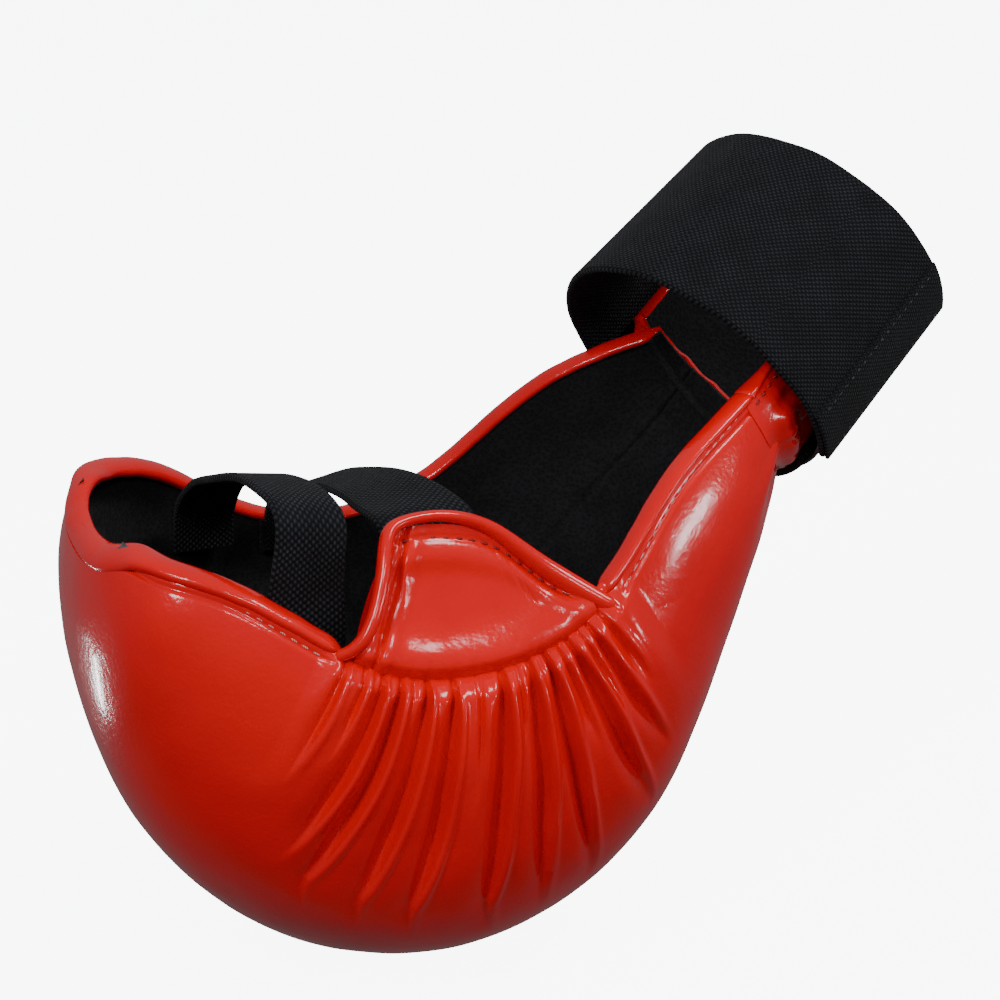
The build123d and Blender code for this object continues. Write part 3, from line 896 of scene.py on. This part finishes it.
# ---- wrist band ----
AXIS = unit(FOREARM)
BACKWARD = unit(np.array((0.70, 0.0, -0.71)) - AXIS * np.dot((0.70, 0.0, -0.71), AXIS))
SIDEWAYS = np.cross(BACKWARD, AXIS)


def spiral(angle):
    return BAND_LIFT * smooth(0.0, 1.0, (180.0 - np.asarray(angle, float)) / 115.0)


def band_point(angle, lift, along):
    """Point round the wrist; angle 0 is the back of the hand, 90 the thumb side.

    On the palm side the band flares over the heel of the hand.
    """
    a = np.radians(np.asarray(angle, float))
    c, s = np.cos(a)[..., None], np.sin(a)[..., None]
    lift = np.asarray(lift, float)[..., None]
    along = np.asarray(along, float)[..., None]
    before_elbow = 1.0 - np.clip(along / BAND_WIDTH, 0.0, 1.0)
    lift = lift + FLARE * (before_elbow ** 1.6 - 0.42) * np.clip(-c, 0.0, 1.0)
    middle = BAND_CENTRE + AXIS * along
    return middle + BACKWARD * (BAND_DEPTH + lift) * c + SIDEWAYS * (BAND_SIDE + lift) * s


def band_strip(name, first, last, material, low=0.0, high=BAND_WIDTH, lift=None,
               thick=ELASTIC, drift=True, wave=0.5):
    """Piece of the band between two angles; drift makes it follow the spiral of the free half."""
    angles = np.linspace(first, last, max(6, int(abs(last - first) / 1.6)))
    rise = ELASTIC / 2 if lift is None else lift
    rise = rise + (spiral(angles) if drift else 0.0 * angles)
    start, end = band_point(angles, rise, low), band_point(angles, rise, high)
    face = unit(band_point(angles, rise + 1.0, low) - start)
    travelled = abs(first - 180.0) * math.pi / 180.0 * (BAND_SIDE + BAND_DEPTH) / 2.0
    return ribbon(name, start, end, face, material, thick, 26, travelled, wave)


def tail_blend(piece):
    """Bake the placement of a strip of the free half into its mesh."""
    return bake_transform(piece)


def build_band():
    fixed = band_strip("band_base", -160.0, 36.0, BAND_WEAVE, drift=False)
    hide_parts("band_fixed")
    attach(fixed, "wrist_cuff")
    cuts = [200.0, 156.0, 112.0, 69.0, TAIL_END]
    for k in range(4):
        strip = band_strip("band_free_%d" % (k + 1), cuts[k], cuts[k + 1], BAND_WEAVE)
        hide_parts("band_tail_%d" % (k + 1))
        tail_blend(strip)


def build_closure():
    pile_patch = band_strip("loop_pile_patch", -28.0, 52.0, LOOP_PILE,
                            4.0, BAND_WIDTH - 4.0, ELASTIC + 0.7, 1.0, False, 0.0)
    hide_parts("loop_patch")
    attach(pile_patch, "wrist_cuff")
    hooks = band_strip("hook_pile_patch", 72.0, 53.0, HOOK_PILE,
                       5.0, BAND_WIDTH - 5.0, -0.6, 1.0, True, 0.0)
    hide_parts("hook_patch")
    tail_blend(hooks)
    hem = band_strip("band_hem", HEM_ANGLES[0], HEM_ANGLES[1], BAND_WEAVE,
                     0.3, BAND_WIDTH - 0.3, ELASTIC + 0.35, 1.0, True, 0.15)
    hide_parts("band_end_hem")
    tail_blend(hem)


def build_hem_stitches():
    along = np.linspace(2.0, BAND_WIDTH - 2.0, 18)
    for k, angle in enumerate((HEM_ANGLES[0] - 2.2, HEM_ANGLES[1] + 2.5)):
        angles = np.full_like(along, angle)
        row = band_point(angles, ELASTIC + 0.75 + spiral(angle), along)
        out = unit(band_point(angles, 20.0, along) - row)
        line = stitches("hem_stitches_%d" % (k + 1), row, out, BLACK_THREAD,
                        2.4, 1.8, 0.28)
        tail_blend(line)


# ---- wrist end ----
def band_coordinates(points):
    """Distance along the forearm from the start of the band."""
    return (points - BAND_CENTRE) @ AXIS


def wrist_sleeve(wall, lift):
    """Grid from the shell's wrist end to the inside of the band; wall is 0 outside and 1 inside."""
    across = np.linspace(-0.99, 0.99, 130)
    start = shell_point(0.34, across, wall, lift)
    ahead = unit(shell_point(0.10, across, wall, lift) - start)
    angles = -98.0 * across
    first = np.maximum(band_coordinates(start) + 9.0, 3.5)
    inward = -0.7 - 2.4 * wall
    entry = band_point(angles, inward, first)
    far = band_point(angles, inward, np.maximum(first + 4.0, 38.0))
    rows = []
    for t in np.linspace(0.0, 1.0, 34):
        blend = (2 * t ** 3 - 3 * t ** 2 + 1) * start + (-2 * t ** 3 + 3 * t ** 2) * entry
        rows.append(blend + 9.0 * (t ** 3 - 2 * t ** 2 + t) * ahead + 9.0 * (t ** 3 - t ** 2) * AXIS)
    for t in np.linspace(0.0, 1.0, 12)[1:]:
        rows.append(entry + (far - entry) * t)
    return np.array(rows), across


def sleeve_height(points, row, w):
    """Puff and gathered folds of the sleeve; row runs from the shell (0) into the band (1)."""
    puff = 1.5 * bell(row - 0.42, 0.17) * smooth(0.0, 0.25, 1.0 - np.abs(w))
    folds = np.zeros_like(row * w)
    count = 15
    for k in range(count):
        place, size = -0.9 + 1.8 * (k + 0.7 * DICE.rand()) / count, DICE.uniform(0.3, 0.9)
        folds = folds + size * bell(w - place - 0.05 * row, DICE.uniform(0.018, 0.04))
    folds = folds * bell(row - 0.55, 0.22)
    return puff - folds + 0.2 * ripple(points, 8.0, 21)


def build_wrist_sleeve():
    """Gathered vinyl sleeve from the shell into the band, with its lining, edges and stitches."""
    smooth_points, across = wrist_sleeve(0.0, 0.15)
    face = grid_normals(smooth_points)
    if np.mean(face[:, face.shape[1] // 2] @ BACKWARD) < 0:
        face = -face
    row = np.linspace(0.0, 1.0, len(smooth_points))[:, None]
    w = across[None, :]
    uv = np.stack(np.broadcast_arrays(row * 50.0, w * 60.0), -1)
    outer = smooth_points + face * sleeve_height(smooth_points, row, w)[..., None]
    sleeve = layer_object("wrist_sleeve", outer, outer - face * 1.7, VINYL, uv)
    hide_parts("wrist_tab")
    cuff_blend(sleeve)
    inner = wrist_sleeve(1.0, -0.6)[0]
    cloth = layer_object("wrist_sleeve_lining", inner, inner - face * 0.9, CLOTH, uv)
    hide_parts("wrist_tab_layer")
    cuff_blend(cloth)
    build_sleeve_edges(outer, inner)
    build_sleeve_stitches(outer, face)


def build_sleeve_edges(outer, inner):
    """Roll that joins the sleeve to its lining along each side."""
    for k, side in enumerate((0, -1)):
        upper, lower = outer[:40, side], inner[:40, side]
        size = 0.5 * np.linalg.norm(upper - lower, axis=1) + 0.4
        roll = tube("sleeve_edge_%d" % (k + 1), 0.5 * (upper + lower), unit(upper - lower), 1.0, 0.5,
                    VINYL, 20, 2.0, size)
        cuff_blend(roll)


def build_sleeve_stitches(outer, face):
    for k, side in enumerate((3, -4)):
        away = face[2:36, side]
        line = stitches("sleeve_stitches_%d" % (k + 1), outer[2:36, side] + away * 0.1, away,
                        RED_THREAD, 2.8, 2.0, 0.28)
        cuff_blend(line)
        if k == 0:
            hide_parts("stitch_tab")


def cuff_blend(piece):
    """Bake the placement of a piece between the shell's end and the band into its mesh."""
    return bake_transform(piece)


def build_wrist_tape():
    """Folded tape over the end of the shell wall, inside the sleeve."""
    pairs = [(0.04, w) for w in np.linspace(-0.985, 0.985, 30)]
    middle, out = even_route(*rim_route(pairs), 1.0, 3)
    tape = tube("wrist_tape", middle, out, 1.7, 1.2, VINYL, 24, taper=2.0)
    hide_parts("wrist_end_fold")
    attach(tape, "hand_shell")


# ---- CAD patches that stay as they are ----
def dress_patches():
    for name in ("palm_strap_anchor", "loop_anchor_thumb", "loop_anchor_little", "strap_root_patch"):
        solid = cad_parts[name]
        solid.data.materials.clear()
        solid.data.materials.append(CLOTH)


# ---- stage, light and camera ----
CAMERA_TURN, CAMERA_RISE = -22.0, 21.5
CAMERA_DISTANCE = 0.500
FOCAL_PIXELS, IMAGE_PIXELS, SENSOR = 2250.0, 1000.0, 36.0


def direction(turn, rise):
    """Unit vector from the origin towards a viewer at that angle."""
    a, e = math.radians(turn), math.radians(rise)
    return Vector((math.sin(a) * math.cos(e), -math.cos(a) * math.cos(e), math.sin(e)))


def build_camera():
    data = bpy.data.cameras.new("camera")
    data.sensor_width = SENSOR
    data.lens = FOCAL_PIXELS * SENSOR / IMAGE_PIXELS
    data.clip_start = 0.01
    camera = bpy.data.objects.new("camera", data)
    camera.location = direction(CAMERA_TURN, CAMERA_RISE) * CAMERA_DISTANCE
    camera.rotation_euler = (-camera.location).to_track_quat("-Z", "Y").to_euler()
    bpy.context.scene.collection.objects.link(camera)
    bpy.context.scene.camera = camera


def softbox(name, turn, rise, distance, width, height, power, target=(0.0, 0.0, -0.03)):
    data = bpy.data.lights.new(name, "AREA")
    data.shape = "RECTANGLE"
    data.size, data.size_y = width, height
    data.energy = power
    light = bpy.data.objects.new(name, data)
    light.location = Vector(target) + direction(turn, rise) * distance
    light.rotation_euler = (Vector(target) - light.location).to_track_quat("-Z", "Y").to_euler()
    light.visible_camera = False
    bpy.context.scene.collection.objects.link(light)


def build_world():
    """Even pale surroundings, dimmer below the horizon."""
    world = bpy.data.worlds.new("world")
    world.use_nodes = True
    tree = world.node_tree
    background = tree.nodes["Background"]
    place = tree.nodes.new("ShaderNodeTexCoord").outputs["Generated"]
    parts = tree.nodes.new("ShaderNodeSeparateXYZ")
    ramp = tree.nodes.new("ShaderNodeMapRange")
    ramp.inputs["From Min"].default_value = -0.6
    ramp.inputs["From Max"].default_value = 0.8
    ramp.inputs["To Min"].default_value = 0.13
    ramp.inputs["To Max"].default_value = 0.40
    tree.links.new(place, parts.inputs[0])
    tree.links.new(parts.outputs["Z"], ramp.inputs["Value"])
    tree.links.new(ramp.outputs[0], background.inputs["Strength"])
    background.inputs["Color"].default_value = (0.95, 0.97, 1.0, 1.0)
    bpy.context.scene.world = world


def build_light():
    """Soft boxes; the low one makes the highlight beside the finger end from under the floor."""
    build_world()
    softbox("key", -50.0, 42.0, 1.1, 0.16, 0.30, 5.0)
    softbox("front", -4.0, 38.0, 1.1, 0.26, 0.08, 2.2)
    softbox("top", 60.0, 56.0, 1.1, 0.34, 0.20, 4.6)
    softbox("side", 54.0, 2.0, 1.1, 0.10, 0.10, 1.5)
    softbox("low", -146.0, -26.0, 1.1, 0.04, 0.13, 0.8)


def build_floor():
    """Pale glowing plane that throws no light, shadow or reflection on the mitt."""
    lowest = CAD_BOX[0][2] / MM - 0.6
    size = 6000.0
    points = [(-size, -size, lowest), (size, -size, lowest), (size, size, lowest), (-size, size, lowest)]
    nodes = Nodes("pale_floor")
    place = nodes.add("TexCoord").outputs["Object"]
    tone = noise_map(nodes, place, 60.0, 2.0)
    nodes.feed("Base Color", nodes.ramp(tone, 0.0, 1.0, (0.84, 0.845, 0.855), (0.86, 0.865, 0.875)))
    nodes.set(Roughness=0.7, Emission_Color=(0.96, 0.98, 1.0, 1.0), Emission_Strength=8.0)
    mesh = bpy.data.meshes.new("floor")
    mesh.from_pydata((np.array(points) * MM).tolist(), [], [(0, 1, 2, 3)])
    mesh.materials.append(nodes.material)
    floor = bpy.data.objects.new("floor", mesh)
    floor.visible_shadow = False
    floor.visible_diffuse = False
    floor.visible_glossy = False
    bpy.context.scene.collection.objects.link(floor)


build_camera()
build_light()
build_floor()
build_skin()
build_foam()
build_lining()
build_rim()
build_rim_stitches()
build_flap()
build_flap_edge()
build_palm_strap()
build_finger_loop()
build_band()
build_closure()
build_hem_stitches()
build_wrist_sleeve()
build_wrist_tape()
dress_patches()
